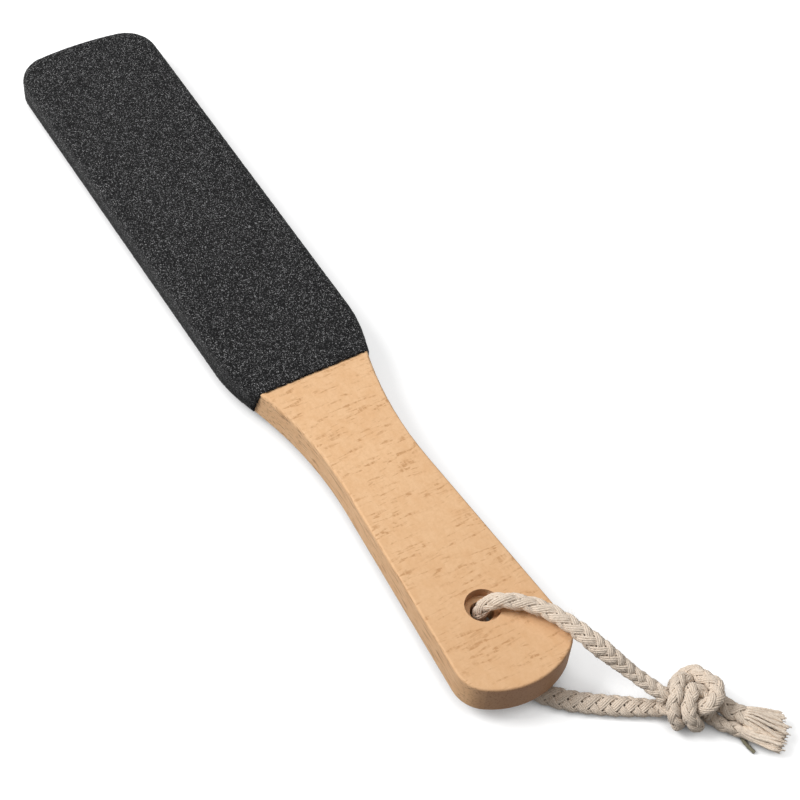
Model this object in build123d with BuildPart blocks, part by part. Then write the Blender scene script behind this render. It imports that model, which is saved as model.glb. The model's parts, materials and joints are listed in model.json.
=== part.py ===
import os
from math import asin, cos, radians, sin, sqrt, tan

from build123d import *

# A wooden foot file: a flat beech paddle with an abrasive head, and a knotted cord loop
# through its handle. Millimetres. +X runs from the tip to the handle's end, +Y to the
# side where the cord's knot lies, +Z up. The origin is on the floor, under the middle of
# the paddle. The paddle leans by about a degree, because its handle lies on the cord.

os.makedirs("parts", exist_ok=True)

# ---------------------------------------------------------------- the board
paddle_length = 260.0
board_thickness = 9.6
head_end_width = 42.6  # wood, at the tip's corners
head_root_width = 40.7  # wood, where the shoulders begin
shoulder_x = 139.5  # corner between the head's side and the shoulder
waist_x = 167.7  # corner between the shoulder and the handle's flare
waist_width = 21.7  # at that corner, before it is rounded
handle_end_width = 32.9  # at the end's corners, before they are rounded
shoulder_radius = 43.0
tip_crown_radius = 100.0
tip_corner_radius = 9.5
end_crown_radius = 22.0
end_corner_radius = 9.0
waist_round_share = 0.98  # of the run that the shoulder's round leaves to the waist's
head_edge_radius = 2.2
handle_edge_radius = 0.7

# ---------------------------------------------------------------- the abrasive
bond_thickness = 0.3
grit_thickness = 0.4
coat_end_x = 149.5  # where the abrasive stops, at mid-thickness
coat_end_slant = 2.4  # how much further it reaches on the front than on the back

# ---------------------------------------------------------------- the cord's hole
hole_from_end = 24.5
hole_diameter = 6.2
counterbore_diameter = 9.5
counterbore_depth = 3.0
hole_back_chamfer = 0.5

# ---------------------------------------------------------------- the cord
cord_diameter = 4.6
handle_gap = 0.4  # between the cord on the floor and the handle over it
bend_share = 0.45  # part of the shorter run beside it that each bend may take

# points of the cord's route from the knot, under the handle, up through the hole and back
# over the handle to the knot; each is measured from the spot on the floor under the hole
cord_route = [
    (40.0, 27.6, 2.35),
    (32.9, 16.0, 2.35),
    (25.1, 6.0, 2.35),
    (17.6, 1.5, 2.35),
    (9.8, 0.2, 2.35),
    (-0.5, -0.2, 2.35),
    (-0.5, -0.2, 17.4),
    (6.7, 10.0, 17.8),
    (15.9, 14.6, 18.1),
    (24.8, 18.2, 16.2),
    (33.9, 24.8, 9.8),
    (39.7, 28.3, 8.0),
]
bend_under_hole = 5  # places in the route of the bends at the hole's two mouths
bend_over_hole = 6

# ---------------------------------------------------------------- the knot and its tails
knot_place = (43.6, 33.0)  # from the spot on the floor under the hole
knot_heading = 59.0  # degrees from +X to the axis of the knot's two wraps
wrap_length = 18.0
wrap_height = 11.4
wrap_thickness = 5.0
wrap_edge_radius = 2.3
wrap_pitch = 4.1
bight_length = 11.6
bight_width = 10.4
bight_height = 9.6
bight_edge_radius = 4.0
bight_along = 5.9  # from the middle of the wraps, along their axis
bight_across = 3.2
leg_collar_depth = 5.0
tail_collar_depth = 8.3
tail_place = (51.0, 41.5)  # where the tails leave the knot's collars
tail_heading = 40.0
tail_length = 4.4
tail_spread = 1.65  # each tail's distance from the middle line
tail_heights = {"left": 5.9, "right": 2.4}
fray_length = 10.2
fray_end_spread = 3.7
fray_end_width = 6.6
fray_end_height = 4.6
fray_end_rise = 2.4  # height of a frayed end's middle over the floor

# ---------------------------------------------------------------- worked out
nearness = 0.01  # how near a place or size is looked for in the model
coat_thickness = bond_thickness + grit_thickness
coat_edge_radius = head_edge_radius + coat_thickness
hole_x = paddle_length - hole_from_end
handle_lift = cord_diameter + handle_gap  # height of the wood over the floor at the hole
lean = asin((handle_lift - coat_thickness) / (hole_x - head_edge_radius))

# the leaning paddle's ends and its lowest point, on its rounded edges
tip_end = (
    head_edge_radius * cos(lean)
    - (board_thickness - head_edge_radius) * sin(lean)
    - coat_edge_radius
)
handle_end = (
    (paddle_length - handle_edge_radius) * cos(lean)
    - handle_edge_radius * sin(lean)
    + handle_edge_radius
)
lowest_point = head_edge_radius * (sin(lean) + cos(lean)) - coat_edge_radius

# the board's own plane: its back face, with the middle of the tip as its origin
board = Plane(
    origin=(-(tip_end + handle_end) / 2, 0, -lowest_point),
    x_dir=(cos(lean), 0, sin(lean)),
    z_dir=(-sin(lean), 0, cos(lean)),
)
board_middle = board.offset(board_thickness / 2)
board_front = board.offset(board_thickness)
hole_on_back = board.from_local_coords(Vector(hole_x, 0, 0))
hole_foot = Vector(hole_on_back.X, hole_on_back.Y, 0)
hole_front = Plane(
    origin=board_front.from_local_coords(Vector(hole_x, 0, 0)),
    x_dir=board.x_dir,
    z_dir=board.z_dir,
)
coat_end = Plane(
    origin=board_middle.from_local_coords(Vector(coat_end_x, 0, 0)),
    z_dir=board.x_dir * board_thickness - board.z_dir * coat_end_slant,
)


# ---------------------------------------------------------------- the board's outline
def sagitta(radius, chord):
    """How far an arc of this radius stands out over a chord of this length."""
    return radius - sqrt(radius**2 - chord**2 / 4)


def half_turn(before, corner, after):
    """Half the angle, in radians, by which a path turns at a corner."""
    return radians((corner - before).get_angle(after - corner) / 2)


def mirrored(point):
    """The point's mirror image on the paddle's other side."""
    return Vector(point.X, -point.Y)


tip_corner = Vector(sagitta(tip_crown_radius, head_end_width), head_end_width / 2)
shoulder = Vector(shoulder_x, head_root_width / 2)
waist = Vector(waist_x, waist_width / 2)
end_corner = Vector(
    paddle_length - sagitta(end_crown_radius, handle_end_width), handle_end_width / 2
)
long_side = [tip_corner, shoulder, waist, end_corner]

# the shoulder's and the waist's rounds share the run between them
shoulder_run = shoulder_radius * tan(half_turn(tip_corner, shoulder, waist))
waist_run = waist_round_share * ((waist - shoulder).length - shoulder_run)
waist_radius = waist_run / tan(half_turn(shoulder, waist, end_corner))


def at_corner(vertices, corner):
    """The outline's two vertices at one of the side's corners, left and right."""
    return [v for v in vertices if (Vector(v.X, abs(v.Y)) - corner).length < nearness]


def board_block(growth, edge_radius):
    """The whole board with rounded edges, grown by a coat's thickness on every side."""
    with BuildPart() as block:
        with BuildSketch(board.offset(-growth)) as outline:
            with BuildLine():
                Polyline(*long_side)
                ThreePointArc(end_corner, (paddle_length, 0), mirrored(end_corner))
                Polyline(*[mirrored(point) for point in reversed(long_side)])
                ThreePointArc(mirrored(tip_corner), (0, 0), tip_corner)
            make_face()
            fillet(at_corner(outline.vertices(), shoulder), radius=shoulder_radius)
            fillet(at_corner(outline.vertices(), waist), radius=waist_radius)
            fillet(at_corner(outline.vertices(), tip_corner), radius=tip_corner_radius)
            fillet(at_corner(outline.vertices(), end_corner), radius=end_corner_radius)
            if growth:
                offset(amount=growth, kind=Kind.ARC)
        extrude(amount=board_thickness + 2 * growth)
        fillet(block.faces().filter_by(board).edges(), radius=edge_radius)
    return block.part


def head_block(growth):
    """The board from the tip to the abrasive's end, grown by a coat's thickness."""
    with BuildPart() as block:
        add(board_block(growth, head_edge_radius + growth))
        split(bisect_by=coat_end, keep=Keep.BOTTOM)
    return block.part


# ---------------------------------------------------------------- paddle
with BuildPart() as paddle:
    add(board_block(0, handle_edge_radius))
    split(bisect_by=coat_end, keep=Keep.TOP)
    add(head_block(0))
    with Locations(hole_front):
        CounterBoreHole(
            radius=hole_diameter / 2,
            counter_bore_radius=counterbore_diameter / 2,
            counter_bore_depth=counterbore_depth,
            depth=board_thickness,
        )
    hole_rims = paddle.edges().filter_by(
        lambda edge: edge.geom_type == GeomType.CIRCLE
        and abs(edge.radius - hole_diameter / 2) < nearness
    )
    chamfer(hole_rims.sort_by(Axis.Z)[0], length=hole_back_chamfer)
paddle.part.label = "paddle"
export_step(paddle.part, "parts/paddle.step")


# ---------------------------------------------------------------- abrasive, front and back
# each face has an adhesive layer with the grit on it; both wrap half of the head's edge
with BuildPart() as front_bond_coat:
    add(head_block(bond_thickness))
    add(head_block(0), mode=Mode.SUBTRACT)
    split(bisect_by=board_middle, keep=Keep.TOP)
front_bond_coat.part.label = "front_bond_coat"
export_step(front_bond_coat.part, "parts/front_bond_coat.step")

with BuildPart() as back_bond_coat:
    add(head_block(bond_thickness))
    add(head_block(0), mode=Mode.SUBTRACT)
    split(bisect_by=board_middle, keep=Keep.BOTTOM)
back_bond_coat.part.label = "back_bond_coat"
export_step(back_bond_coat.part, "parts/back_bond_coat.step")

with BuildPart() as front_grit_coat:
    add(head_block(coat_thickness))
    add(head_block(bond_thickness), mode=Mode.SUBTRACT)
    split(bisect_by=board_middle, keep=Keep.TOP)
front_grit_coat.part.label = "front_grit_coat"
export_step(front_grit_coat.part, "parts/front_grit_coat.step")

with BuildPart() as back_grit_coat:
    add(head_block(coat_thickness))
    add(head_block(bond_thickness), mode=Mode.SUBTRACT)
    split(bisect_by=board_middle, keep=Keep.BOTTOM)
back_grit_coat.part.label = "back_grit_coat"
export_step(back_grit_coat.part, "parts/back_grit_coat.step")


# ---------------------------------------------------------------- the cord's stretches
route = [hole_foot + Vector(*point) for point in cord_route]


def bend_radius(index):
    """The radius that a bend's share of the shorter run beside it allows."""
    before, corner, after = route[index - 1 : index + 2]
    shorter_run = min((corner - before).length, (after - corner).length)
    return bend_share * shorter_run / tan(half_turn(before, corner, after))


def stretch_end(outer, bend):
    """Where a stretch ends: at the route's own end, or in the middle of a run."""
    if outer in (0, len(route) - 1):
        return route[outer]
    return (route[outer] + route[bend]) / 2


def cord_tube(name, first_bend, last_bend):
    """A round tube along straight runs joined by tangent arcs, in the open part."""
    start = stretch_end(first_bend - 1, first_bend)
    end = stretch_end(last_bend + 1, last_bend)
    bends = range(first_bend, last_bend + 1)
    points = [start] + [route[index] for index in bends] + [end]
    radii = [bend_radius(index) for index in bends]
    with BuildLine() as path:
        FilletPolyline(*points, radius=radii)
    with BuildSketch(Plane(origin=start, z_dir=points[1] - start)) as section:
        Circle(cord_diameter / 2)
    sweep(sections=section.sketch, path=path.line)
    length = sum(edge.length for edge in path.edges())
    print(name, "bend radii", [round(radius, 1) for radius in radii], "mm")
    print(name, "length", round(length, 2), "mm")
    print(name, "section times length", round(section.sketch.area * length, 1), "mm3")


with BuildPart() as cord_lower_leg:
    cord_tube("cord_lower_leg", 1, bend_under_hole - 1)
print("cord_lower_leg volume", round(cord_lower_leg.part.volume, 1), "mm3")
cord_lower_leg.part.label = "cord_lower_leg"
export_step(cord_lower_leg.part, "parts/cord_lower_leg.step")

with BuildPart() as cord_in_hole:
    cord_tube("cord_in_hole", bend_under_hole, bend_over_hole)
print("cord_in_hole volume", round(cord_in_hole.part.volume, 1), "mm3")
cord_in_hole.part.label = "cord_in_hole"
export_step(cord_in_hole.part, "parts/cord_in_hole.step")

with BuildPart() as cord_upper_leg:
    cord_tube("cord_upper_leg", bend_over_hole + 1, len(route) - 2)
print("cord_upper_leg volume", round(cord_upper_leg.part.volume, 1), "mm3")
cord_upper_leg.part.label = "cord_upper_leg"
export_step(cord_upper_leg.part, "parts/cord_upper_leg.step")


# ---------------------------------------------------------------- the tails' places
tail_axis = Vector(cos(radians(tail_heading)), sin(radians(tail_heading)), 0)
tail_across = Vector(-tail_axis.Y, tail_axis.X, 0)
tail_side = {"left": 1, "right": -1}
tail_start = {
    side: hole_foot
    + Vector(*tail_place, tail_heights[side])
    + tail_across * tail_spread * tail_side[side]
    for side in tail_side
}
tail_end = {side: tail_start[side] + tail_axis * tail_length for side in tail_side}


# ---------------------------------------------------------------- the knot
# two flattened wraps side by side, the round bight beside them, and a straight collar
# of cord for each of the four strands that leave the knot
knot_middle = hole_foot + Vector(*knot_place, wrap_height / 2)
wrap_axis = Vector(cos(radians(knot_heading)), sin(radians(knot_heading)), 0)
wrap_across = Vector(-wrap_axis.Y, wrap_axis.X, 0)
bight_middle = knot_middle + wrap_axis * bight_along + wrap_across * bight_across
bight_plane = Plane(origin=bight_middle, x_dir=wrap_axis, z_dir=(0, 0, 1))


def rounded_turn(plane, length, width, thickness, edge_radius):
    """A turn of cord closed inside, as a slot with round edges, in the open part."""
    with BuildPart(mode=Mode.PRIVATE) as turn:
        with BuildSketch(plane):
            SlotOverall(length, width)
        extrude(amount=thickness / 2, both=True)
        fillet(turn.faces().filter_by(plane).edges(), radius=edge_radius)
    add(turn.part)


def knot_wrap(along):
    """One flattened turn of cord round the knot."""
    ring = Plane(
        origin=knot_middle + wrap_axis * along, x_dir=wrap_across, z_dir=wrap_axis
    )
    rounded_turn(ring, wrap_length, wrap_height, wrap_thickness, wrap_edge_radius)


def collar(place, inward, depth):
    """A straight stub of cord from a face outside the knot into its middle."""
    with BuildSketch(Plane(origin=place, z_dir=inward)) as section:
        Circle(cord_diameter / 2)
    extrude(section.sketch, amount=depth)


with BuildPart() as cord_knot:
    knot_wrap(-wrap_pitch / 2)
    knot_wrap(wrap_pitch / 2)
    rounded_turn(bight_plane, bight_length, bight_width, bight_height, bight_edge_radius)
    collar(route[0], route[0] - route[1], leg_collar_depth)
    collar(route[-1], route[-1] - route[-2], leg_collar_depth)
    collar(tail_start["left"], -tail_axis, tail_collar_depth)
    collar(tail_start["right"], -tail_axis, tail_collar_depth)
cord_knot.part.label = "cord_knot"
export_step(cord_knot.part, "parts/cord_knot.step")


# ---------------------------------------------------------------- the tails
def tail_tube(side):
    """The short plaited end of one strand behind the knot, in the open part."""
    with BuildSketch(Plane(origin=tail_start[side], z_dir=tail_axis)) as section:
        Circle(cord_diameter / 2)
    extrude(section.sketch, amount=tail_length)


def frayed_end(side):
    """The flared tuft of one strand's loose yarns, in the open part."""
    shift = tail_across * (fray_end_spread - tail_spread) * tail_side[side]
    rise = Vector(0, 0, fray_end_rise - tail_heights[side])
    tuft_end = tail_end[side] + tail_axis * fray_length + shift + rise
    with BuildSketch(Plane(origin=tail_end[side], x_dir=tail_across, z_dir=tail_axis)) as root:
        Circle(cord_diameter / 2)
    with BuildSketch(Plane(origin=tuft_end, x_dir=tail_across, z_dir=tail_axis)) as brush:
        Ellipse(fray_end_width / 2, fray_end_height / 2)
    loft([root.sketch, brush.sketch])


with BuildPart() as cord_tail_left:
    tail_tube("left")
cord_tail_left.part.label = "cord_tail_left"
export_step(cord_tail_left.part, "parts/cord_tail_left.step")

with BuildPart() as cord_tail_right:
    tail_tube("right")
cord_tail_right.part.label = "cord_tail_right"
export_step(cord_tail_right.part, "parts/cord_tail_right.step")

with BuildPart() as cord_fray_left:
    frayed_end("left")
cord_fray_left.part.label = "cord_fray_left"
export_step(cord_fray_left.part, "parts/cord_fray_left.step")

with BuildPart() as cord_fray_right:
    frayed_end("right")
cord_fray_right.part.label = "cord_fray_right"
export_step(cord_fray_right.part, "parts/cord_fray_right.step")
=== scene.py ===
import json
import math

import bmesh
import bpy
import numpy as np
from mathutils import Matrix, Vector
from mathutils.bvhtree import BVHTree


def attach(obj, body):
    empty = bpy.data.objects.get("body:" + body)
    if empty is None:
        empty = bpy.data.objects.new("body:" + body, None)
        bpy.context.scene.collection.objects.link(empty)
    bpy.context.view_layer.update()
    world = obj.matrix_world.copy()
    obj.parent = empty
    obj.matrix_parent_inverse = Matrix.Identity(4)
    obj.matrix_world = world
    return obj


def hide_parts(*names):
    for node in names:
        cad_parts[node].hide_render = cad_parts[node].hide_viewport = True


# A beech foot file with two gritty faces and a braided cotton loop knotted through its handle.
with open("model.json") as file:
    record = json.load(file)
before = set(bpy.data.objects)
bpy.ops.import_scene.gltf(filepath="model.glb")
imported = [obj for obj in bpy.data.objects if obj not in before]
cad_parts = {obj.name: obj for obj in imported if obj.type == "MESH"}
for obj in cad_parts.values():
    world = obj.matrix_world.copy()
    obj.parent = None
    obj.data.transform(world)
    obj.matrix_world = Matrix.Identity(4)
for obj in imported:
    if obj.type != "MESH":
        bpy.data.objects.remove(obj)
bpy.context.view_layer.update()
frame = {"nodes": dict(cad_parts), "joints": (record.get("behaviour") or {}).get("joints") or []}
scene = bpy.context.scene

MM = 0.001
rest_height = 0.02 * MM  # the lowest that grit and cotton lie
FULL_TURN = 2 * math.pi
rng = np.random.default_rng(11)

# ------------------------------------------------------------------ the paddle's own axes
swing = frame["joints"][0]
board_z = Vector(swing["axis"]).normalized()
board_x = Vector((board_z.z, 0, -board_z.x))
board_y = Vector((0, 1, 0))
hole_middle = Vector(swing["pos_m"])
hole_along = 235.5 * MM  # from the tip to the hole
board_thickness = 9.6 * MM
tip = hole_middle - board_x * hole_along - board_z * (board_thickness / 2)
hole_foot = tip + board_x * hole_along
hole_foot.z = 0


def on_board(x, y, z):
    """A spot given in millimetres from the tip's middle on the back face, in the row frame."""
    return tip + (board_x * x + board_y * y + board_z * z) * MM


# ------------------------------------------------------------------ camera
camera_place = (423.3, -168.1, 395.7)  # mm in the paddle's axes
camera_aim = (169.94, 15.48, 9.6)
camera_roll = math.radians(6.15)
lens_mm = 83.2
sensor_mm = 36.0
near_clip = 10 * MM


def add_camera():
    data = bpy.data.cameras.new("view")
    data.lens = lens_mm
    data.sensor_width = sensor_mm
    data.clip_start = near_clip
    camera = bpy.data.objects.new("view", data)
    scene.collection.objects.link(camera)
    place = on_board(*camera_place)
    forward = (on_board(*camera_aim) - place).normalized()
    level = forward.cross(board_z).normalized()
    above = level.cross(forward)
    right = level * math.cos(camera_roll) + above * math.sin(camera_roll)
    up = right.cross(forward)
    camera.matrix_world = Matrix.Translation(place) @ (
        Matrix((right, up, -forward)).transposed().to_4x4()
    )
    scene.camera = camera


# ------------------------------------------------------------------ mesh helpers
def add_mesh(name, points, faces, material, smooth=True):
    """A new mesh object in the row frame, with one material."""
    data = bpy.data.meshes.new(name)
    data.from_pydata(np.asarray(points).tolist(), [], faces)
    data.validate()
    data.polygons.foreach_set("use_smooth", [smooth] * len(data.polygons))
    data.materials.append(material)
    piece = bpy.data.objects.new(name, data)
    scene.collection.objects.link(piece)
    return piece


def unit(vectors):
    return vectors / np.maximum(np.linalg.norm(vectors, axis=-1, keepdims=True), 1e-12)


def spline_points(controls, order=3, fineness=24):
    """The points along an open NURBS curve, from its control points."""
    data = bpy.data.curves.new("route", "CURVE")
    data.dimensions = "3D"
    spline = data.splines.new("NURBS")
    spline.points.add(len(controls) - 1)
    for point, place in zip(spline.points, controls):
        point.co = (*place, 1)
    spline.order_u = order
    spline.use_endpoint_u = True
    spline.resolution_u = fineness
    curve = bpy.data.objects.new("route", data)
    mesh = bpy.data.meshes.new_from_object(curve)
    points = np.array([v.co for v in mesh.vertices])
    bpy.data.meshes.remove(mesh)
    bpy.data.curves.remove(data)
    return points


def lengths_along(points):
    """The length along the line from its start to each point."""
    return np.concatenate([[0], np.cumsum(np.linalg.norm(np.diff(points, axis=0), axis=1))])


def resampled(points, count):
    """The line again with that many evenly spaced points."""
    along = lengths_along(points)
    at = np.linspace(0, along[-1], count)
    return np.stack([np.interp(at, along, points[:, k]) for k in range(3)], axis=1)


def even_line(points, step):
    """The line again with points about a step apart, and the length along it at each."""
    whole = lengths_along(points)[-1]
    count = max(2, round(whole / step) + 1)
    return resampled(points, count), np.linspace(0, whole, count)


def carried_frames(points, normal):
    """Tangents, and two normals carried from the line's start without twisting."""
    tangents = unit(np.gradient(points, axis=0))
    normals = np.empty_like(points)
    for i, tangent in enumerate(tangents):
        normal = normal - tangent * (normal @ tangent)
        normal = normal / np.linalg.norm(normal)
        normals[i] = normal
    return tangents, normals, np.cross(tangents, normals)


def tube_mesh(tubes):
    """Points and faces of closed tubes, each an array of rings of points."""
    points, faces = [], []
    base = 0
    for rings in tubes:
        count, sides = rings.shape[:2]
        ring = np.arange(sides)
        near = base + np.arange(count - 1)[:, None] * sides + ring
        following = base + np.arange(count - 1)[:, None] * sides + (ring + 1) % sides
        quads = np.stack([near, following, following + sides, near + sides], axis=-1)
        faces += quads.reshape(-1, 4).tolist()
        points.append(rings.reshape(-1, 3))
        base += count * sides
        for cap in (rings[0][::-1], rings[-1]):
            points.append(cap)
            faces.append(tuple(range(base, base + sides)))
            base += sides
    return np.concatenate(points), faces


# ------------------------------------------------------------------ the cord's route
# millimetres from the spot on the floor under the hole: from the knot under the handle,
# up through the hole and back over the handle to the knot
route_under = [
    (40.0, 27.6, 2.35),
    (32.9, 16.0, 2.35),
    (25.1, 6.0, 2.35),
    (17.6, 1.5, 2.35),
    (9.8, 0.2, 2.35),
    (-0.5, -0.2, 2.35),
]
route_over = [
    (-0.5, -0.2, 17.4),
    (6.7, 10.0, 17.8),
    (15.9, 14.6, 18.1),
    (24.8, 18.2, 16.2),
    (33.9, 24.8, 9.8),
    (39.7, 28.3, 8.0),
]


def from_foot(points):
    """Millimetres from the spot under the hole, as places in the row frame."""
    return [hole_foot + Vector(p) * MM for p in points]


def level_way(heading):
    """The level direction at an angle from the row frame's x axis."""
    return np.array((math.cos(heading), math.sin(heading), 0))


def leftwards(way):
    """The level direction a quarter turn to the left of a level way."""
    return np.array((-way[1], way[0], 0))


# ------------------------------------------------------------------ the knot
# Both legs make one overhand knot together. The places of each strand's middle are in
# millimetres from the knot's: along the knot, across it to its left, and up from the floor.
knot_place = (43.7, 35.6)  # from the spot on the floor under the hole, in millimetres
knot_heading = math.radians(50)
strand_under = [  # the strand that goes on from the lower leg
    (-8.5, -2.3, 2.4), (-6.4, -2.4, 4.0), (-4.0, -2.3, 5.4), (-1.2, -2.1, 5.8), (1.4, -1.6, 7.0),
    (3.8, -0.8, 8.2), (5.5, 1.0, 8.6), (4.8, 3.2, 8.6), (2.2, 3.9, 8.2), (-0.6, 5.0, 7.0),
    (-3.2, 6.0, 5.0), (-4.8, 5.2, 2.8), (-5.0, 2.0, 2.1), (-4.4, -2.0, 2.0), (-3.4, -5.4, 2.2),
    (-3.0, -6.5, 4.0), (-4.8, -5.4, 6.2), (-6.2, -3.0, 8.4), (-6.4, -0.2, 9.4), (-5.0, 2.4, 9.3),
    (-2.6, 3.4, 8.0), (-0.6, 2.6, 5.6), (1.8, 2.6, 3.8), (4.6, 1.8, 3.4), (6.8, 0.8, 4.6),
    (9.3, -0.8, 4.7),
]
strand_over = [  # the strand that goes on from the upper leg
    (-8.2, -1.6, 8.0), (-6.4, -0.4, 6.8), (-4.0, 1.1, 5.6), (-1.2, 1.6, 5.5), (1.4, 1.6, 5.3),
    (3.2, 1.3, 8.0), (3.6, 2.6, 7.8), (2.8, 4.6, 6.8), (1.0, 5.8, 4.8), (-0.8, 4.6, 2.8),
    (-1.0, 1.6, 2.1), (-0.4, -2.0, 2.0), (0.6, -5.2, 2.2), (1.4, -6.5, 3.6), (0.4, -5.9, 5.6),
    (-1.2, -4.4, 7.6), (-2.8, -2.0, 9.2), (-3.2, 0.6, 9.4), (-1.6, 1.8, 8.0), (0.0, 1.2, 6.2),
    (1.6, -0.4, 4.2), (3.8, -2.0, 2.8), (6.4, -3.3, 2.4), (9.0, -3.9, 2.4),
]
squeezed_cord = 3.5 * MM  # between the middles of two strands pressed together
own_reach = 1.3 * squeezed_cord  # along one strand, nearer nodes don't push each other
knot_low = 2.0 * MM  # the lowest and highest that a strand's middle may lie
knot_high = 9.8 * MM
knot_nodes = 84  # in each strand
knot_passes = 300
tightening = 0.95  # how long a strand ends, as a share of its first length
tight_after = 0.6  # share of the passes after which it is tight
first_gap = 0.6  # share of the squeezed cord that the strands keep apart at first
full_gap_after = 0.3  # share of the passes after which they keep the whole of it apart
straightening = 0.05  # how strongly a node moves between its neighbours
push_share = 0.7  # share of an overlap that is pushed apart in one pass
stay_put = 0.02  # how strongly a node keeps to its place
held_nodes = 3  # at each end of a strand
bend_steps = 20  # points between two of a strand's places


def rounded_line(places, count):
    """A smooth line through the places, as that many evenly spaced nodes."""
    places = np.array(places, float)
    ends = np.array([2 * places[0] - places[1], 2 * places[-1] - places[-2]])
    places = np.concatenate([ends[:1], places, ends[1:]])
    t = np.linspace(0, 1, bend_steps, endpoint=False)[:, None]
    bends = []
    for a, b, c, d in zip(places, places[1:], places[2:], places[3:]):
        square = 2 * a - 5 * b + 4 * c - d
        cube = 3 * b - a - 3 * c + d
        bends.append((2 * b + (c - a) * t + square * t**2 + cube * t**3) / 2)
    return resampled(np.concatenate([*bends, places[-2:-1]]), count)


def knot_strand(places):
    """A strand of the knot in the row frame."""
    along = level_way(knot_heading)
    across = leftwards(along)
    middle = np.array(hole_foot) + np.array((*knot_place, 0)) * MM
    local = rounded_line(places, knot_nodes) * MM
    strand = middle + local[:, :1] * along + local[:, 1:2] * across
    strand[:, 2] = local[:, 2]
    return strand


def relaxed_knot(start):
    """Draws the two strands tight and pushes apart whatever is closer than they can press."""
    strands = start.copy()
    count = strands.shape[1]
    place = np.tile(np.arange(count), 2)
    strand_of = np.repeat([0, 1], count)
    step = np.linalg.norm(np.diff(strands, axis=1), axis=2).mean(axis=1)
    same = strand_of[:, None] == strand_of[None, :]
    steps_apart = np.abs(place[:, None] - place[None, :])
    neighbours = same & (steps_apart * step.mean() < own_reach)
    for turn in range(knot_passes):
        done = turn / knot_passes
        rest = (step * (1 + (tightening - 1) * min(1, done / tight_after)))[:, None, None]
        for first in (0, 1):
            last = first + 2 * ((count - first) // 2)
            link = strands[:, first + 1 : last : 2] - strands[:, first:last:2]
            length = np.maximum(np.linalg.norm(link, axis=2, keepdims=True), 1e-9)
            shift = link * (1 - rest / length) / 2
            strands[:, first:last:2] += shift
            strands[:, first + 1 : last : 2] -= shift
        middle = (strands[:, :-2] + strands[:, 2:]) / 2
        strands[:, 1:-1] += straightening * (middle - strands[:, 1:-1])
        nodes = strands.reshape(-1, 3)
        link = nodes[:, None] - nodes[None]
        length = np.linalg.norm(link, axis=2) + 1e-9
        gap = squeezed_cord * min(1, first_gap + (1 - first_gap) * done / full_gap_after)
        overlap = np.where(neighbours, 0, np.maximum(gap - length, 0))
        push = (link * (overlap / length / 2)[:, :, None]).sum(axis=1)
        pushes = np.sqrt(np.maximum((overlap > 0).sum(axis=1), 1))[:, None]
        nodes = nodes + push_share * push / pushes
        nodes[:, 2] = np.clip(nodes[:, 2], knot_low, knot_high)
        strands = nodes.reshape(strands.shape)
        strands += stay_put * (start - strands)
        strands[:, :held_nodes] = start[:, :held_nodes]
        strands[:, -held_nodes:] = start[:, -held_nodes:]
    return strands


tail_heading = math.radians(40)
tail_length = 3.4 * MM
tail_places = 6  # control points along a tail, with the strand's end


def knot_and_tail(strand):
    """One strand's smooth line through the knot and on along its short tail."""
    steps = np.linspace(0, tail_length, tail_places)[1:, None]
    tail = strand[-1] + level_way(tail_heading) * steps
    return spline_points(np.concatenate([strand, tail]), order=4, fineness=6)


# ------------------------------------------------------------------ the braid
strand_pairs = 4  # strands laid each way
yarns_in_strand = 4
yarn_radius = 0.325 * MM
yarn_pitch = 0.54 * MM  # between the yarns of one strand
yarn_slip = 1.3  # how much further round the cord the slanting yarns lie apart
weave_rise = 0.36 * MM  # how far a strand moves out and in as it passes over and under
strand_crown = 0.07 * MM  # how much less it moves, by yarns from its middle squared
crossing = 1.8  # how quickly a strand passes from over to under
yarn_inset = 2.1  # yarn radii from the cord's surface to the braid's middle
core_inset = 3.3  # and to the filling's surface
core_sides = 12
yarn_sides = 7
ply_pitch = 3.2 * MM  # one turn of a yarn's ridges
ply_depth = 0.10  # of the yarn's radius
yarn_rough = 0.06
seam_way = np.array((0.31, 0.2, 0.93))  # the side where each yarn's rings begin
ring_step = 0.42 * MM
# by the share of the loop from the lower leg's end: half the cord's width and height and one
# strand's full turn round it, in millimetres, and the way that its flat side faces
cord_sections = [
    (-0.63, 2.6, 1.9, 14.0, (0.2, -0.3, 1.0)),
    (-0.58, 2.25, 2.0, 14.0, (0.2, -0.3, 1.0)),
    (-0.03, 2.25, 2.0, 14.0, (0.2, -0.3, 1.0)),
    (0.00, 2.3, 1.9, 14.0, (0.2, -0.3, 1.0)),
    (0.08, 2.85, 1.95, 14.0, (0.2, -0.3, 1.0)),
    (0.28, 2.85, 1.95, 14.0, (0.2, -0.3, 1.0)),
    (0.38, 2.5, 2.0, 15.0, (0.2, -0.3, 1.0)),
    (0.46, 2.3, 2.1, 18.0, (-0.6, -0.8, 0.2)),
    (0.56, 2.2, 2.1, 21.0, (-0.6, -0.8, 0.2)),
    (0.64, 2.25, 2.0, 21.0, (0.0, 0.0, 1.0)),
    (0.74, 2.3, 2.0, 17.0, (0.0, -0.3, 1.0)),
    (0.83, 2.75, 1.9, 13.5, (0.5, -0.6, 0.6)),
    (0.92, 2.15, 1.85, 14.0, (0.9, -0.5, 0.1)),
    (1.00, 2.25, 2.0, 14.0, (0.9, -0.5, 0.1)),
    (1.47, 2.25, 2.0, 14.0, (0.9, -0.5, 0.1)),
    (1.52, 2.6, 1.9, 14.0, (0.9, -0.5, 0.1)),
]
section_easing = 12  # passes that smooth the measures along the cord


def smoothed(values, passes):
    """Values eased along their first axis, with both ends held."""
    for _ in range(passes):
        middle = (values[:-2] + 2 * values[1:-1] + values[2:]) / 4
        values = np.concatenate([values[:1], middle, values[-1:]])
    return values


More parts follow.
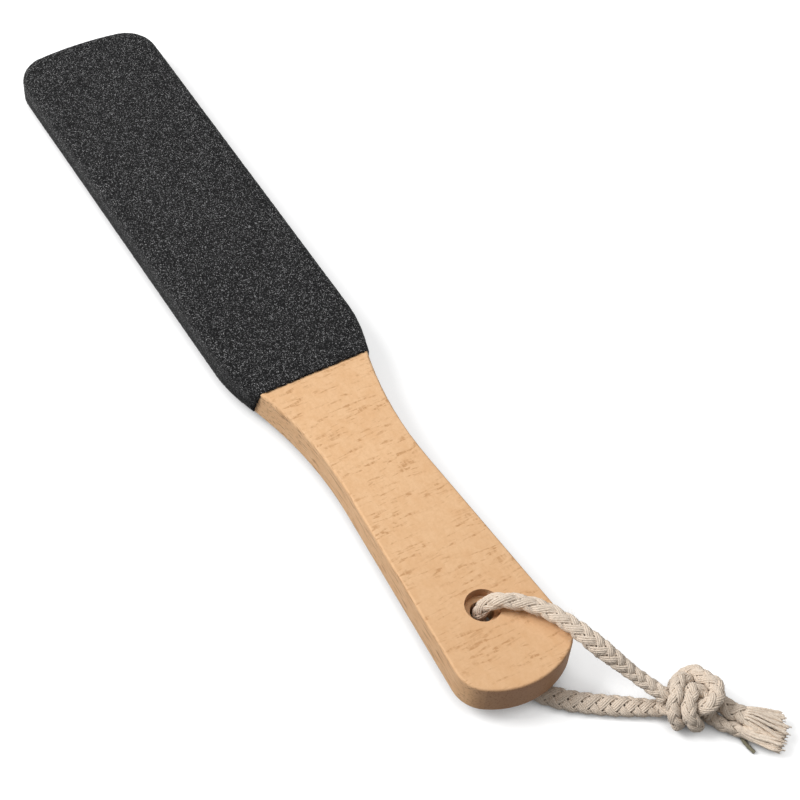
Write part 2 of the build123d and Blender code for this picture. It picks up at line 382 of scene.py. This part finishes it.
def braid(line, turned, wide, thin, half_width, half_height):
    """Centrelines of all the yarns of a flat braided cord that follows the line."""
    girth = FULL_TURN * (half_width + half_height) / 2
    yarns = []
    for hand in (1, -1):
        for strand in range(strand_pairs):
            angle = FULL_TURN * strand / strand_pairs + hand * turned
            over = np.tanh(crossing * hand * np.cos(2 * angle - math.pi / 4))
            for yarn in range(yarns_in_strand):
                side = yarn - (yarns_in_strand - 1) / 2
                # the yarns of a strand lie side by side, so each is slipped round the cord
                a = angle - hand * side * yarn_pitch * yarn_slip * FULL_TURN / girth
                rise = (weave_rise - strand_crown * side * side) * over
                x = (half_width - yarn_radius * yarn_inset + rise) * np.cos(a)
                y = (half_height - yarn_radius * yarn_inset + rise) * np.sin(a)
                yarns.append(line + wide * x[:, None] + thin * y[:, None])
    return np.array(yarns)


def core_rings(line, wide, thin, half_width, half_height):
    """The rings of the cord's soft filling, which closes the braid from inside."""
    around = FULL_TURN * np.arange(core_sides) / core_sides
    inset = yarn_radius * core_inset
    x = (half_width - inset)[:, None] * np.cos(around)
    y = (half_height - inset)[:, None] * np.sin(around)
    return line[:, None] + wide[:, None] * x[:, :, None] + thin[:, None] * y[:, :, None]


def rings_round(line, across, up, radius, around):
    """A ring of points round each point of the line, at the given angles."""
    return (
        line[:, None, :]
        + across[:, None, :] * (radius * np.cos(around))[:, :, None]
        + up[:, None, :] * (radius * np.sin(around))[:, :, None]
    )


def yarn_rings(yarn, radius):
    """The rings of points round one yarn, with its ply's slight ridges."""
    _, across, up = carried_frames(yarn, seam_way)
    around = FULL_TURN * np.arange(yarn_sides) / yarn_sides
    steps = np.linalg.norm(np.diff(yarn, axis=0, prepend=yarn[:1]), axis=1).cumsum()
    twist = steps[:, None] * FULL_TURN / ply_pitch + rng.random() * FULL_TURN
    ply = 1 + ply_depth * np.cos(2 * (around[None, :] - twist))
    r = radius[:, None] * ply * (1 + yarn_rough * rng.standard_normal((len(yarn), yarn_sides)))
    return rings_round(yarn, across, up, r, around)


# ------------------------------------------------------------------ the frayed ends
fray_heading = math.radians(47)
fray_rings = 26
fray_leave = 5 * MM  # how stiffly a loose yarn leaves the braid and arrives at its end
fray_arrive = 7 * MM
fray_aim_left = (60.0, 51.4, 3.3)  # millimetres from the spot on the floor under the hole
fray_aim_right = (62.2, 49.1, 2.1)
fray_fan = 1.75  # how much wider the loose yarns end than they leave the braid
fan_half_width = 5.2 * MM  # both ends together make one fan, longest in its middle
fan_round = 1.5 * MM  # how much sooner the yarns at the fan's edges end
fan_lead = 0.1  # share of that by which the fan's middle reaches past the aim
aside_scatter = 0.35 * MM  # how unevenly the yarns end
length_scatter = 0.5 * MM
height_scatter = 0.25 * MM
splay = 0.10  # how unevenly their ends point to the side, and down and up
droop = (-0.05, 0.08)
wave_turns = (1.2, 2.4)
wave_width = (0.03, 0.18)  # millimetres
height_kept = 0.75  # of a yarn's height over the others where it leaves the braid
lowest_end = 0.6 * MM
lowest_loose = 0.45 * MM
loose_swell = 0.40  # how much thicker a loose yarn is at its end than in the braid
swollen_rings = 4  # at its end that are all that thick
end_taper = (0.6, 0.2)  # a yarn's thickness at its last ring, and the gain at each ring inwards
fine_in_yarn = 6  # fine strands that a loose yarn falls apart into
fine_radius = 0.15 * MM
fine_thinning = (1.15, 0.5)  # shares of it, at the start and lost on the way to the end
fine_lengths = (0.90, 1.03)  # shares of the yarn's length
fine_apart = 0.8 * yarn_radius  # from the yarn's middle
fine_drift = np.array((0.6, 0.6, 0.3)) * MM  # how far a fine strand's end strays
lowest_fine = 0.25 * MM


def loose_yarns(ends, ways, middle, aim, fan_middle):
    """The loose stretch of each yarn, from its end in the braid to a ragged end near the aim."""
    way = level_way(fray_heading)
    across = leftwards(way)
    t = np.linspace(0, 1, fray_rings)[1:, None]
    loose = []
    for end, start_way in zip(ends, ways):
        offset = end - middle
        goal = aim + across * (offset @ across * fray_fan + rng.normal(0, aside_scatter))
        aside = (goal - fan_middle) @ across / fan_half_width
        reach = fan_round * (fan_lead - aside**2) + rng.normal(0, length_scatter)
        goal = goal + way * reach
        height = aim[2] + offset[2] * height_kept + rng.normal(0, height_scatter)
        goal[2] = max(height, lowest_end)
        leave = unit(start_way) * fray_leave
        end_way = way + across * rng.normal(0, splay) + (0, 0, rng.normal(*droop))
        arrive = unit(end_way) * fray_arrive
        path = (
            end * (2 * t**3 - 3 * t**2 + 1)
            + leave * (t**3 - 2 * t**2 + t)
            + goal * (3 * t**2 - 2 * t**3)
            + arrive * (t**3 - t**2)
        )
        wave = np.sin(t * FULL_TURN * rng.uniform(*wave_turns) + rng.uniform(0, FULL_TURN))
        path = path + across * wave * t * rng.uniform(*wave_width) * MM
        path[:, 2] = np.maximum(path[:, 2], lowest_loose)
        loose.append(path)
    return np.array(loose)


def fine_strands(loose):
    """The fine strands that each loose yarn falls apart into."""
    t = np.linspace(0, 1, loose.shape[1])[:, None]
    strands = []
    for yarn in loose:
        for _ in range(fine_in_yarn):
            drift = rng.normal(0, 1, 3) * fine_drift
            close = unit(rng.normal(0, 1, 3)) * fine_apart
            path = yarn + drift * t**1.5 + close * np.minimum(1, 3 * t)
            path = path[0] + (path - path[0]) * rng.uniform(*fine_lengths)
            path[:, 2] = np.maximum(path[:, 2], lowest_fine)
            thinned = fine_thinning[0] - fine_thinning[1] * t[:, 0]
            strands.append(yarn_rings(path, fine_radius * thinned))
    return strands


# ------------------------------------------------------------------ stray fibres
fuzz_radius = 0.035 * MM
fuzz_thinning = 0.6  # share of its thickness that a fibre loses towards its end
fuzz_length = (0.7 * MM, 2.0 * MM)
fuzz_points = 5
fuzz_sides = 3
fuzz_root = 0.7 * yarn_radius  # from the yarn's middle
fuzz_stand = (0.35, 1.0)  # how steeply a fibre stands off its yarn
fuzz_scatter = 0.25  # how unevenly the fibres point
fuzz_curl = 0.35
fuzz_shrink = 0.2  # how much a fibre's curl draws it in
lowest_fuzz = 0.1 * MM
leg_hairs = 160  # fibres on each piece of the cord; on the knot, on each of its two stretches
knot_hairs = 110
tail_hairs = 20
fray_hairs = 40
# one darker, olive yarn sticks out from under the right end
stray_route = [(52.6, 42.6, 1.6), (55.4, 42.0, 1.0), (57.6, 41.6, 0.7), (60.9, 42.3, 0.6)]
stray_radius = 0.5 * MM
stray_rings = 22


def fuzz(yarns, count):
    """Short stray fibres that stand off the yarns, as thin tubes."""
    line = yarns.mean(axis=0)
    hairs = []
    for _ in range(count):
        i = int(rng.integers(2, len(line) - 2))
        yarn = yarns[int(rng.integers(len(yarns)))]
        outward = unit(yarn[i] - line[i])
        onward = unit(yarn[i + 1] - yarn[i - 1]) * (1 if rng.random() < 0.5 else -1)
        way = unit(outward * rng.uniform(*fuzz_stand) + onward + rng.normal(0, fuzz_scatter, 3))
        curl = rng.normal(0, fuzz_curl, 3)
        t = np.linspace(0, 1, fuzz_points)[:, None]
        length = rng.uniform(*fuzz_length)
        run = (way * t + curl * t**2) * length * (1 - fuzz_shrink * t)
        path = yarn[i] + outward * fuzz_root + run
        path[:, 2] = np.maximum(path[:, 2], lowest_fuzz)
        _, across, up = carried_frames(path, outward)
        around = FULL_TURN * np.arange(fuzz_sides) / fuzz_sides
        radius = fuzz_radius * (1 - fuzz_thinning * t)
        hairs.append(rings_round(path, across, up, radius, around))
    return hairs


# ------------------------------------------------------------------ materials
def new_material(name):
    material = bpy.data.materials.new(name)
    material.use_nodes = True
    tree = material.node_tree
    return material, tree, tree.nodes["Principled BSDF"]


def srgb(r, g, b):
    """An 8-bit display colour as the linear colour that the shaders take."""
    parts = [c / 255 for c in (r, g, b)]
    return tuple(c / 12.92 if c <= 0.04045 else ((c + 0.055) / 1.055) ** 2.4 for c in parts) + (1,)


def grey(value):
    return (value, value, value, 1)


def node(tree, kind, **settings):
    made = tree.nodes.new(kind)
    for key, value in settings.items():
        setattr(made, key, value)
    return made


def feed(tree, entry, value):
    """Links another node's output to an input, or sets the input to a plain value."""
    if isinstance(value, bpy.types.NodeSocket):
        tree.links.new(value, entry)
    else:
        entry.default_value = value


def mapped(tree, scale, turn=0.0):
    """The object's own coordinates, turned about its z axis and scaled."""
    place = node(tree, "ShaderNodeTexCoord")
    mapping = node(tree, "ShaderNodeMapping")
    mapping.inputs["Scale"].default_value = scale if isinstance(scale, tuple) else [scale] * 3
    mapping.inputs["Rotation"].default_value = (0, 0, turn)
    tree.links.new(place.outputs["Object"], mapping.inputs["Vector"])
    return mapping.outputs["Vector"]


def noise(tree, scale, detail=3.0, roughness=0.55, distortion=0.0, turn=0.0):
    """Soft noise; its scale is in features a metre, the same or one for each axis."""
    made = node(tree, "ShaderNodeTexNoise")
    made.inputs["Scale"].default_value = 1.0
    made.inputs["Detail"].default_value = detail
    made.inputs["Roughness"].default_value = roughness
    made.inputs["Distortion"].default_value = distortion
    tree.links.new(mapped(tree, scale, turn), made.inputs["Vector"])
    return made.outputs["Fac"]


def ramp(tree, factor, *stops):
    """Turns a factor into a strength, by stops of (factor, strength)."""
    made = node(tree, "ShaderNodeValToRGB")
    elements = made.color_ramp.elements
    while len(elements) < len(stops):
        elements.new(0.5)
    for element, (place, value) in zip(elements, stops):
        element.position = place
        element.color = grey(value)
    tree.links.new(factor, made.inputs["Fac"])
    return made.outputs["Color"]


def mix(tree, factor, a, b):
    """From colour a to colour b; each may be another node's output or a colour."""
    made = node(tree, "ShaderNodeMix", data_type="RGBA")
    for entry, value in ((0, factor), (6, a), (7, b)):
        feed(tree, made.inputs[entry], value)
    return made.outputs[2]


def math_node(tree, operation, a, b=0.0):
    made = node(tree, "ShaderNodeMath", operation=operation)
    feed(tree, made.inputs[0], a)
    feed(tree, made.inputs[1], b)
    return made.outputs[0]


def times(tree, a, b):
    return math_node(tree, "MULTIPLY", a, b)


def minus(tree, a, b):
    return math_node(tree, "SUBTRACT", a, b)


def larger(tree, a, b):
    """The larger of two values."""
    return math_node(tree, "MAXIMUM", a, b)


def surface(tree, shader, colour, roughness, specular=0.5):
    feed(tree, shader.inputs["Base Color"], colour)
    feed(tree, shader.inputs["Roughness"], roughness)
    shader.inputs["Specular IOR Level"].default_value = specular


def bump(tree, shader, height, distance, strength):
    made = node(tree, "ShaderNodeBump")
    made.inputs["Distance"].default_value = distance
    made.inputs["Strength"].default_value = strength
    tree.links.new(height, made.inputs["Height"])
    tree.links.new(made.outputs["Normal"], shader.inputs["Normal"])


def openness(tree, distance, samples):
    """1 where a surface is open within the distance, falling to 0 in corners and grooves."""
    made = node(tree, "ShaderNodeAmbientOcclusion", samples=samples)
    made.inputs["Distance"].default_value = distance
    return made.outputs["AO"]


def split_vector(tree, vector):
    made = node(tree, "ShaderNodeSeparateXYZ")
    tree.links.new(vector, made.inputs["Vector"])
    return made.outputs


beech_pale = srgb(237, 197, 154)
beech_deep = srgb(223, 179, 135)
beech_mottle = srgb(218, 170, 122)
beech_pore = srgb(206, 160, 114)
# painted shade, darkening the board towards the handle's end
beech_painted_end_shade = srgb(204, 160, 117)
# end grain, darkened further by painted shade on the faces that turn along the board
beech_end_grain_and_shade = srgb(164, 122, 92)
beech_fleck = srgb(186, 138, 92)
beech_line = srgb(146, 104, 70)
fleck_tilt = math.radians(4.5)  # the rows of flecks run a little aslant


def beech_marks(tree):
    """How strongly the board's ray flecks, grain lines and pores mark each spot."""
    # on the faces, short flecks run across the handle in rows
    dashes = noise(
        tree, (1150, 210, 300), detail=2.0, roughness=0.55, distortion=0.5, turn=fleck_tilt
    )
    rows = noise(tree, (420, 75, 60), detail=2.0, roughness=0.5, distortion=0.4, turn=fleck_tilt)
    fleck = times(tree, ramp(tree, dashes, (0.53, 0.0), (0.61, 1.0)),
                  ramp(tree, rows, (0.40, 0.05), (0.56, 1.0)))
    # fine strokes along the board break the flecks up into chains
    strokes = noise(tree, (420, 1250, 300), detail=1.0, roughness=0.5, turn=fleck_tilt)
    fleck = times(tree, fleck, ramp(tree, strokes, (0.42, 0.30), (0.56, 1.0)))
    # on the sides, fine grain runs along it
    lines = ramp(tree, noise(tree, (50, 2600, 2200), roughness=0.6), (0.54, 0.0), (0.66, 1.0))
    pores = noise(tree, 1300, roughness=0.7)
    return fleck, lines, pores


def beech_material():
    material, tree, shader = new_material("beech")
    fleck, lines, pores = beech_marks(tree)
    coords = node(tree, "ShaderNodeTexCoord")
    facing = split_vector(tree, coords.outputs["Normal"])
    face = ramp(tree, math_node(tree, "ABSOLUTE", facing["Z"]), (0.55, 0.0), (0.85, 1.0))
    end = ramp(tree, math_node(tree, "ABSOLUTE", facing["X"]), (0.45, 0.0), (0.95, 1.0))
    face_mark = times(tree, fleck, face)
    side_mark = times(tree, lines, minus(tree, 1.0, face))

    cloud = noise(tree, (18, 45, 45), roughness=0.5, distortion=0.6)
    mottle = noise(tree, (210, 330, 330), detail=4.0, roughness=0.7)
    # painted shade: the board is a little darker towards the handle's end, by metres from the
    # frame's middle
    along = split_vector(tree, coords.outputs["Object"])["X"]
    base = mix(tree, cloud, beech_deep, beech_pale)
    for mark, colour in (
        (ramp(tree, mottle, (0.40, 0.0), (0.66, 0.55)), beech_mottle),
        (ramp(tree, pores, (0.42, 0.0), (0.66, 0.28)), beech_pore),
        # painted shade towards the handle's end
        (ramp(tree, along, (0.05, 0.0), (0.11, 0.36)), beech_painted_end_shade),
        # end grain together with painted shade, on the faces that turn along the board
        (times(tree, end, 0.85), beech_end_grain_and_shade),
        (times(tree, face_mark, 0.80), beech_fleck),
        (times(tree, side_mark, 0.75), beech_line),
    ):
        base = mix(tree, mark, base, colour)
    surface(tree, shader, base, roughness=0.62, specular=0.3)
    height = minus(tree, times(tree, pores, 0.4), face_mark)
    bump(tree, shader, height, distance=0.05 * MM, strength=0.6)
    return material


resin_dark, resin_dusty = srgb(40, 32, 26), srgb(66, 52, 40)


def resin_material():
    material, tree, shader = new_material("bond_resin")
    dirt = noise(tree, 1400)
    surface(tree, shader, mix(tree, dirt, resin_dark, resin_dusty), roughness=0.55)
    bump(tree, shader, dirt, distance=0.05 * MM, strength=0.5)
    return material


grains_a_metre = 5600
dust_a_metre = 5200
dust = srgb(11, 11, 12)
# the light shade of each pair is a painted glint on the few grains that shine
coarse_shades = (srgb(15, 15, 16), srgb(190, 190, 191))  # most grains, and those that shine
fine_shades = (srgb(16, 16, 17), srgb(132, 132, 133))


def grit_material(name, dark, light):
    """Packed dark grains, of which few catch the light, their glint painted into the colour."""
    material, tree, shader = new_material(name)
    grains = node(tree, "ShaderNodeTexVoronoi")
    grains.inputs["Scale"].default_value = 1.0
    tree.links.new(mapped(tree, grains_a_metre), grains.inputs["Vector"])
    shade = node(tree, "ShaderNodeSeparateColor")
    tree.links.new(grains.outputs["Color"], shade.inputs["Color"])
    # painted glint: the few brightest grains get the light colour
    bright = ramp(tree, shade.outputs[0], (0.0, 0.0), (0.80, 0.03), (0.93, 0.38), (1.0, 1.0))
    dusty = noise(tree, dust_a_metre, detail=2.0, roughness=0.8)
    dusty = ramp(tree, dusty, (0.40, 0.0), (0.65, 0.5))
    colour = mix(tree, dusty, mix(tree, bright, dark, light), dust)
    roughness = ramp(tree, shade.outputs[1], (0.0, 0.25), (1.0, 0.8))
    surface(tree, shader, colour, roughness, specular=0.05)
    bump(tree, shader, grains.outputs["Distance"], distance=0.15 * MM, strength=0.9)
    return material


cotton_pale, cotton_shadowed = srgb(242, 227, 210), srgb(222, 205, 187)
loose_pale, loose_shadowed = srgb(252, 238, 220), srgb(240, 222, 203)
stray_pale, stray_shadowed = srgb(132, 130, 108), srgb(108, 106, 88)
cotton_fibre = srgb(176, 157, 134)
# painted shade, laid into the grooves between the yarns of the cord and of its loose ends
cotton_groove_shade, loose_groove_shade = srgb(112, 92, 74), srgb(196, 172, 146)
groove_width = 0.8 * MM


def cotton_material(name, pale, shadowed, groove_shade=cotton_groove_shade):
    """Matt cotton, mottled by its fibres, with shade painted into the grooves between its yarns.
    """
    material, tree, shader = new_material(name)
    fibres = noise(tree, 2600, detail=4.0, roughness=0.7, distortion=0.8)
    colour = mix(tree, noise(tree, 260), pale, shadowed)
    colour = mix(tree, ramp(tree, fibres, (0.46, 0.0), (0.66, 0.5)), colour, cotton_fibre)
    # painted shade: the colour darkens where other yarns close in round a spot
    grooves = ramp(tree, openness(tree, groove_width, samples=6), (0.20, 0.48), (0.68, 0.0))
    surface(tree, shader, mix(tree, grooves, colour, groove_shade), roughness=0.9, specular=0.2)
    shader.inputs["Sheen Weight"].default_value = 0.25
    shader.inputs["Sheen Roughness"].default_value = 0.5
    bump(tree, shader, fibres, distance=0.14 * MM, strength=0.8)
    return material


def seen_directly(tree):
    """1 for the rays that see the backdrop directly, in a mirror or through glass, else 0."""
    path = node(tree, "ShaderNodeLightPath")
    seen = larger(tree, path.outputs["Is Camera Ray"], path.outputs["Is Glossy Ray"])
    return larger(tree, seen, path.outputs["Is Transmission Ray"])


shadow_reach = 20 * MM


def floor_material():
    """A white floor that keeps the object's soft shadow, with a painted contact shadow where its
    glow fades close to the object, and sends little light back up.
    """
    material, tree, shader = new_material("studio_floor")
    seen = seen_directly(tree)
    surface(tree, shader, mix(tree, seen, grey(0.22), grey(0.62)), roughness=0.9, specular=0.0)
    # painted shadow: the glow seen on the floor fades where the object closes it in
    near = ramp(tree, openness(tree, shadow_reach, samples=8), (0.15, 0.0), (0.60, 0.60))
    spot = node(tree, "ShaderNodeNewGeometry")
    away = node(tree, "ShaderNodeVectorMath", operation="LENGTH")
    tree.links.new(spot.outputs["Position"], away.inputs[0])
    far = ramp(tree, away.outputs["Value"], (0.30, 0.0), (1.0, 1.0))  # white to the horizon
    glow = times(tree, seen, larger(tree, near, far))
    tree.links.new(glow, shader.inputs["Emission Strength"])
    shader.inputs["Emission Color"].default_value = grey(1)
    return material


# ------------------------------------------------------------------ light and stage
floor_half = 4.0  # metres
world_seen = 1.0  # the world's strength where it is seen
world_light = 0.30  # and its strength as light on the object


def add_area(name, place, size, power):
    """A round lamp that points at the row frame's middle."""
    data = bpy.data.lights.new(name, "AREA")
    data.shape = "DISK"
    data.size = size
    data.energy = power
    lamp = bpy.data.objects.new(name, data)
    scene.collection.objects.link(lamp)
    aim = -Vector(place)
    lamp.matrix_world = (
        Matrix.Translation(place) @ aim.to_track_quat("-Z", "Y").to_matrix().to_4x4()
    )


def add_stage():
    corners = [(-1, -1, 0), (1, -1, 0), (1, 1, 0), (-1, 1, 0)]
    floor = add_mesh(
        "studio_floor",
        np.array(corners) * floor_half,
        [(0, 1, 2, 3)],
        floor_material(),
        smooth=False,
    )
    world = bpy.data.worlds.new("studio")
    scene.world = world
    world.use_nodes = True
    tree = world.node_tree
    background = tree.nodes["Background"]
    background.inputs["Color"].default_value = grey(1)
    strength = times(tree, seen_directly(tree), world_seen - world_light)
    strength = math_node(tree, "ADD", strength, world_light)
    tree.links.new(strength, background.inputs["Strength"])
    add_area("key_light", (-0.42, -0.75, 0.95), size=0.6, power=14.5)
    add_area("top_light", (-0.20, 0.10, 1.3), size=0.4, power=3.0)


# ------------------------------------------------------------------ the abrasive skin
grain_step = 0.34 * MM
grain_height = 0.13 * MM
grain_peaks = 1.5  # above 1, high grains are rarer than low ones
grain_sunk = 0.35  # share of the grain height that lies under the coat's surface
open_end = 4.0 * MM  # this near the coats' end, skin that lies in the wood is left out
in_wood = 0.05 * MM  # deeper than this
rim_width = 3.2 * MM  # a ragged rim where the coat stops
ragged_rim = 0.40 * MM
rim_reach = (-0.2, 1)  # shares of it, back and forth


def coats_hull():
    """One closed hull round both coats, as a new object."""
    shape = bmesh.new()
    for name in ("front_grit_coat", "back_grit_coat"):
        shape.from_mesh(frame["nodes"][name].data)
    hull = bmesh.ops.convex_hull(shape, input=shape.verts)
    inside = [g for g in hull["geom_interior"] if isinstance(g, bmesh.types.BMVert)]
    bmesh.ops.delete(shape, geom=inside, context="VERTS")
    holding = [f for f in shape.faces if f not in set(hull["geom"])]
    bmesh.ops.delete(shape, geom=holding, context="FACES_ONLY")
    data = bpy.data.meshes.new("grit_body")
    shape.to_mesh(data)
    shape.free()
    body = bpy.data.objects.new("grit_body", data)
    scene.collection.objects.link(body)
    return body


def fine_skin():
    """Points, normals and quads of an even fine mesh on the coats' outer shape."""
    body = coats_hull()
    remesh = body.modifiers.new("remesh", "REMESH")
    remesh.mode = "VOXEL"
    remesh.voxel_size = grain_step
    bpy.context.view_layer.update()
    evaluated = body.evaluated_get(bpy.context.evaluated_depsgraph_get())
    fine = bpy.data.meshes.new_from_object(evaluated)
    bpy.data.objects.remove(body)
    points = np.empty(len(fine.vertices) * 3)
    normals = np.empty(len(fine.vertices) * 3)
    fine.vertices.foreach_get("co", points)
    fine.vertices.foreach_get("normal", normals)
    quads = np.array([tuple(p.vertices) for p in fine.polygons])
    bpy.data.meshes.remove(fine)
    return points.reshape(-1, 3), normals.reshape(-1, 3), quads


def outside_wood(middles, last):
    """Which places to keep: all but those that lie in the wood near the coats' end."""
    wood = frame["nodes"]["paddle"].data
    corners = [v.co for v in wood.vertices]
    faces = BVHTree.FromPolygons(corners, [tuple(p.vertices) for p in wood.polygons])
    keep = np.ones(len(middles), bool)
    for i in np.nonzero(middles @ np.array(board_x) > last - open_end)[0]:
        spot, normal, _, _ = faces.find_nearest(Vector(middles[i]))
        keep[i] = (Vector(middles[i]) - spot).dot(normal) > -in_wood
    return keep


def add_grit(front_material, back_material):
    """The head's gritty skin: a fine mesh on the coats' outer shape, every point a grain."""
    points, normals, quads = fine_skin()
    count = len(points)
    ends = points @ np.array(board_x)
    last = ends.max()
    quads = quads[outside_wood(points[quads].mean(axis=1), last)]
    height = grain_height * (rng.random(count) ** grain_peaks - grain_sunk)
    points = points + normals * height[:, None]
    rim = (ends > last - rim_width)[:, None]
    ragged = (ragged_rim * rng.uniform(*rim_reach, count))[:, None]
    points = points + rim * ragged * np.array(board_x)
    points[:, 2] = np.maximum(points[:, 2], rest_height)
    mid = np.array(hole_middle) @ np.array(board_z)
    front = (points[quads].mean(axis=1) @ np.array(board_z)) > mid
    made = []
    for name, chosen, material in (
        ("grit_front", quads[front], front_material),
        ("grit_back", quads[~front], back_material),
    ):
        used, faces = np.unique(chosen, return_inverse=True)
        made.append(add_mesh(name, points[used], faces.reshape(-1, 4).tolist(), material))
    return made


# ------------------------------------------------------------------ build: stage and materials
scene.view_settings.view_transform = "Standard"
add_camera()
add_stage()

beech = beech_material()
resin = resin_material()
cotton = cotton_material("cotton", cotton_pale, cotton_shadowed)
loose_cotton = cotton_material("loose_cotton", loose_pale, loose_shadowed, loose_groove_shade)
stray_cotton = cotton_material("stray_yarn_cotton", stray_pale, stray_shadowed)

# ------------------------------------------------------------------ build: the paddle
for name, material in (("paddle", beech), ("front_bond_coat", resin), ("back_bond_coat", resin)):
    for place in frame["nodes"][name].material_slots:
        place.material = material

front_grit, back_grit = add_grit(
    grit_material("coarse_grit", *coarse_shades), grit_material("fine_grit", *fine_shades)
)
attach(front_grit, "paddle_body")
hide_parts("front_grit_coat")
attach(back_grit, "paddle_body")
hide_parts("back_grit_coat")

# ------------------------------------------------------------------ build: the cord's yarns
# its middle line runs from one tail through the knot, round the loop and back to the other tail
knotted = relaxed_knot(np.stack([knot_strand(strand_under), knot_strand(strand_over)]))
from_under, from_over = (knot_and_tail(strand) for strand in knotted)
loop_line = spline_points(from_foot(route_under + route_over))
line, at = even_line(
    np.concatenate([from_under[::-1], loop_line[1:], from_over[1:]]), ring_step
)
start_under, start_over, in_hole = (
    int(np.argmin(np.linalg.norm(line - np.array(place), axis=1)))
    for place in (loop_line[0], loop_line[-1], hole_middle)
)

# its section, how far its strands have turned round it, and which way it is wide and thin
share = (np.arange(len(line)) - start_under) / (start_over - start_under)
shares, *measures, facings = zip(*cord_sections)
half_width, half_height, lay = (
    smoothed(np.interp(share, shares, measure) * MM, section_easing) for measure in measures
)
turned = np.cumsum(FULL_TURN * np.gradient(at) / lay)
face = np.stack([np.interp(share, shares, part) for part in zip(*facings)], axis=1)
wide = unit(np.cross(np.gradient(line, axis=0), face))
for first, last, way in ((start_over, len(line) - 1, 1), (start_under, 0, -1)):
    order = np.arange(first, last + way, way)
    wide[order] = carried_frames(line[order], wide[first])[1]
thin = np.cross(unit(np.gradient(line, axis=0)), wide)

# its yarns, braided along the line and loose at both ends
yarns = braid(line, turned, wide, thin, half_width, half_height)
core = core_rings(line, wide, thin, half_width, half_height)
aims = np.array(from_foot([fray_aim_left, fray_aim_right]))
loose_left, loose_right = (
    loose_yarns(yarns[:, end], yarns[:, end] - yarns[:, inner], line[end], aim, aims.mean(axis=0))
    for end, inner, aim in ((0, 1, aims[0]), (-1, -2, aims[1]))
)
loose_count = loose_left.shape[1]
long_yarns = np.concatenate([loose_left[:, ::-1], yarns, loose_right], axis=1)
from_end = np.minimum(np.arange(long_yarns.shape[1]), np.arange(long_yarns.shape[1])[::-1])
untwisted = 1 + loose_swell * np.clip(1 - (from_end - swollen_rings) / loose_count, 0, 1)
radius = yarn_radius * untwisted * np.minimum(1, end_taper[0] + end_taper[1] * from_end)
tubes = [yarn_rings(yarn, radius) for yarn in long_yarns]


# ------------------------------------------------------------------ build: the cord's pieces
def cord_piece(name, stretches, hairs, material=cotton, extra=()):
    """One piece of the cord: the yarns' tubes along the stretches, given by their rings."""
    parts = list(extra)
    for first, last in stretches:
        parts += [tube[first : last + 1] for tube in tubes]
        parts += fuzz(long_yarns[:, first : last + 1], hairs)
        braided = core[max(first - loose_count, 0) : max(last + 1 - loose_count, 0)]
        if len(braided) > 1:
            parts.append(braided)
    points, faces = tube_mesh(parts)
    points[:, 2] = np.maximum(points[:, 2], rest_height)
    piece = add_mesh(name, points, faces, material)
    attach(piece, "cord_loop")
    return piece


end_ring = long_yarns.shape[1] - 1
tail_rings = round(tail_length / ring_step)
knot_left = loose_count + tail_rings
knot_right = end_ring - loose_count - tail_rings
leg_under, leg_over, middle_ring = (
    loose_count + index for index in (start_under, start_over, in_hole)
)
right_fray = end_ring - loose_count
lower = cord_piece("cord_lower", [(leg_under, middle_ring)], leg_hairs)
upper = cord_piece("cord_upper", [(middle_ring, leg_over)], leg_hairs)
knot = cord_piece("knot", [(knot_left, leg_under), (leg_over, knot_right)], knot_hairs)
tail_left = cord_piece("tail_left", [(loose_count, knot_left)], tail_hairs)
tail_right = cord_piece("tail_right", [(knot_right, right_fray)], tail_hairs)
fray_left = cord_piece(
    "fray_left", [(0, loose_count)], fray_hairs, loose_cotton, fine_strands(loose_left)
)
fray_right = cord_piece(
    "fray_right", [(right_fray, end_ring)], fray_hairs, loose_cotton, fine_strands(loose_right)
)
stray_line = resampled(spline_points(from_foot(stray_route)), stray_rings)
stray_tube = yarn_rings(stray_line, np.full(stray_rings, stray_radius))
stray = add_mesh("stray_yarn", *tube_mesh([stray_tube]), stray_cotton)
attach(stray, "cord_loop")
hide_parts("cord_lower_leg")
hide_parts("cord_upper_leg", "cord_in_hole")
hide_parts("cord_knot")
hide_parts("cord_tail_left")
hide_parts("cord_tail_right")
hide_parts("cord_fray_left")
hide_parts("cord_fray_right")
